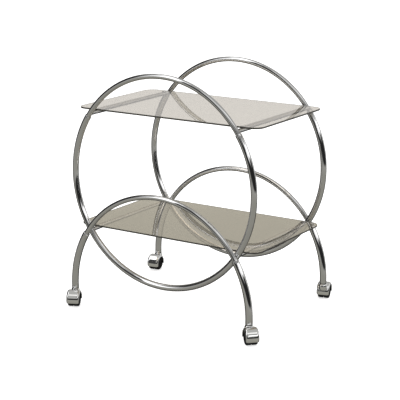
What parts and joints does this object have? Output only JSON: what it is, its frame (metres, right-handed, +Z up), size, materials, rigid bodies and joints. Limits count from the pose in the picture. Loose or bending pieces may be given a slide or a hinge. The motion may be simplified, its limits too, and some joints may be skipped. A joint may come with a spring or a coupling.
{
  "type": "bar cart on wheels",
  "caption": "Serving cart with round chrome side frames, smoked-glass shelves above and below, arched legs and swivelling twin-wheel casters.",
  "frame": {"origin": "on the floor, under the middle of the cart's overall box", "axes": "+Z up, +X along the shelves from the left-hand leg to the right-hand leg, +Y from the front ring to the back ring"},
  "size_m": [0.7025, 0.5613, 0.755],
  "materials": {
    "chrome_steel": "polished",
    "smoked_glass": "clear, grey-brown tint",
    "black_plastic": "satin",
    "zinc_steel": "zinc plated",
    "clear_rubber": "matte"
  },
  "bodies": {
    "frame": {"front_handle_tube": "chrome_steel", "front_hoop_tube": "chrome_steel", "front_arch_tube": "chrome_steel", "back_handle_tube": "chrome_steel", "back_hoop_tube": "chrome_steel", "back_arch_tube": "chrome_steel", "upper_left_crossbar": "chrome_steel", "lower_left_crossbar": "chrome_steel", "front_left_leg_tube": "chrome_steel", "front_left_crossing_bolt": "zinc_steel", "front_left_crossbar_insert": "zinc_steel", "upper_front_left_pad": "clear_rubber", "lower_front_left_pad": "clear_rubber", "back_left_leg_tube": "chrome_steel", "back_left_crossing_bolt": "zinc_steel", "back_left_crossbar_insert": "zinc_steel", "upper_back_left_pad": "clear_rubber", "lower_back_left_pad": "clear_rubber", "upper_right_crossbar": "chrome_steel", "lower_right_crossbar": "chrome_steel", "front_right_leg_tube": "chrome_steel", "front_right_crossing_bolt": "zinc_steel", "front_right_crossbar_insert": "zinc_steel", "upper_front_right_pad": "clear_rubber", "lower_front_right_pad": "clear_rubber", "back_right_leg_tube": "chrome_steel", "back_right_crossing_bolt": "zinc_steel", "back_right_crossbar_insert": "zinc_steel", "upper_back_right_pad": "clear_rubber", "lower_back_right_pad": "clear_rubber", "upper_glass": "smoked_glass", "lower_glass": "smoked_glass", "front_left_caster_socket": "black_plastic", "back_left_caster_socket": "black_plastic", "front_right_caster_socket": "black_plastic", "back_right_caster_socket": "black_plastic"},
    "front_left_swivel": {"front_left_caster_stem": "zinc_steel", "front_left_caster_hood": "chrome_steel", "front_left_caster_axle": "zinc_steel"},
    "front_right_swivel": {"front_right_caster_stem": "zinc_steel", "front_right_caster_hood": "chrome_steel", "front_right_caster_axle": "zinc_steel"},
    "back_left_swivel": {"back_left_caster_stem": "zinc_steel", "back_left_caster_hood": "chrome_steel", "back_left_caster_axle": "zinc_steel"},
    "back_right_swivel": {"back_right_caster_stem": "zinc_steel", "back_right_caster_hood": "chrome_steel", "back_right_caster_axle": "zinc_steel"},
    "front_left_caster_left_wheel": {"front_left_caster_left_wheel": "black_plastic"},
    "front_left_caster_right_wheel": {"front_left_caster_right_wheel": "black_plastic"},
    "front_right_caster_left_wheel": {"front_right_caster_left_wheel": "black_plastic"},
    "front_right_caster_right_wheel": {"front_right_caster_right_wheel": "black_plastic"},
    "back_left_caster_left_wheel": {"back_left_caster_left_wheel": "black_plastic"},
    "back_left_caster_right_wheel": {"back_left_caster_right_wheel": "black_plastic"},
    "back_right_caster_left_wheel": {"back_right_caster_left_wheel": "black_plastic"},
    "back_right_caster_right_wheel": {"back_right_caster_right_wheel": "black_plastic"}
  },
  "joints": [
    {"name": "front_left_swivel_turn", "type": "hinge", "parent": "frame", "child": "front_left_swivel", "pos_m": [-0.331, -0.2296, 0.05], "axis": [0, 0, 1], "continuous": true},
    {"name": "front_right_swivel_turn", "type": "hinge", "parent": "frame", "child": "front_right_swivel", "pos_m": [0.305, -0.2296, 0.05], "axis": [0, 0, 1], "continuous": true},
    {"name": "back_left_swivel_turn", "type": "hinge", "parent": "frame", "child": "back_left_swivel", "pos_m": [-0.331, 0.2296, 0.05], "axis": [0, 0, 1], "continuous": true},
    {"name": "back_right_swivel_turn", "type": "hinge", "parent": "frame", "child": "back_right_swivel", "pos_m": [0.305, 0.2296, 0.05], "axis": [0, 0, 1], "continuous": true},
    {"name": "front_left_left_wheel_spin", "type": "hinge", "parent": "front_left_swivel", "child": "front_left_caster_left_wheel", "pos_m": [-0.3217, -0.24954, 0.025], "axis": [0.9063, 0.4226, 0], "continuous": true},
    {"name": "front_left_right_wheel_spin", "type": "hinge", "parent": "front_left_swivel", "child": "front_left_caster_right_wheel", "pos_m": [-0.3217, -0.24954, 0.025], "axis": [0.9063, 0.4226, 0], "continuous": true},
    {"name": "front_right_left_wheel_spin", "type": "hinge", "parent": "front_right_swivel", "child": "front_right_caster_left_wheel", "pos_m": [0.32056, -0.24516, 0.025], "axis": [0.7071, 0.7071, 0], "continuous": true},
    {"name": "front_right_right_wheel_spin", "type": "hinge", "parent": "front_right_swivel", "child": "front_right_caster_right_wheel", "pos_m": [0.32056, -0.24516, 0.025], "axis": [0.7071, 0.7071, 0], "continuous": true},
    {"name": "back_left_left_wheel_spin", "type": "hinge", "parent": "back_left_swivel", "child": "back_left_caster_left_wheel", "pos_m": [-0.32794, 0.20781, 0.025], "axis": [0.9903, 0.1392, 0], "continuous": true},
    {"name": "back_left_right_wheel_spin", "type": "hinge", "parent": "back_left_swivel", "child": "back_left_caster_right_wheel", "pos_m": [-0.32794, 0.20781, 0.025], "axis": [0.9903, 0.1392, 0], "continuous": true},
    {"name": "back_right_left_wheel_spin", "type": "hinge", "parent": "back_right_swivel", "child": "back_right_caster_left_wheel", "pos_m": [0.29931, 0.25085, 0.025], "axis": [-0.9659, -0.2588, 0], "continuous": true},
    {"name": "back_right_right_wheel_spin", "type": "hinge", "parent": "back_right_swivel", "child": "back_right_caster_right_wheel", "pos_m": [0.29931, 0.25085, 0.025], "axis": [-0.9659, -0.2588, 0], "continuous": true}
  ]
}
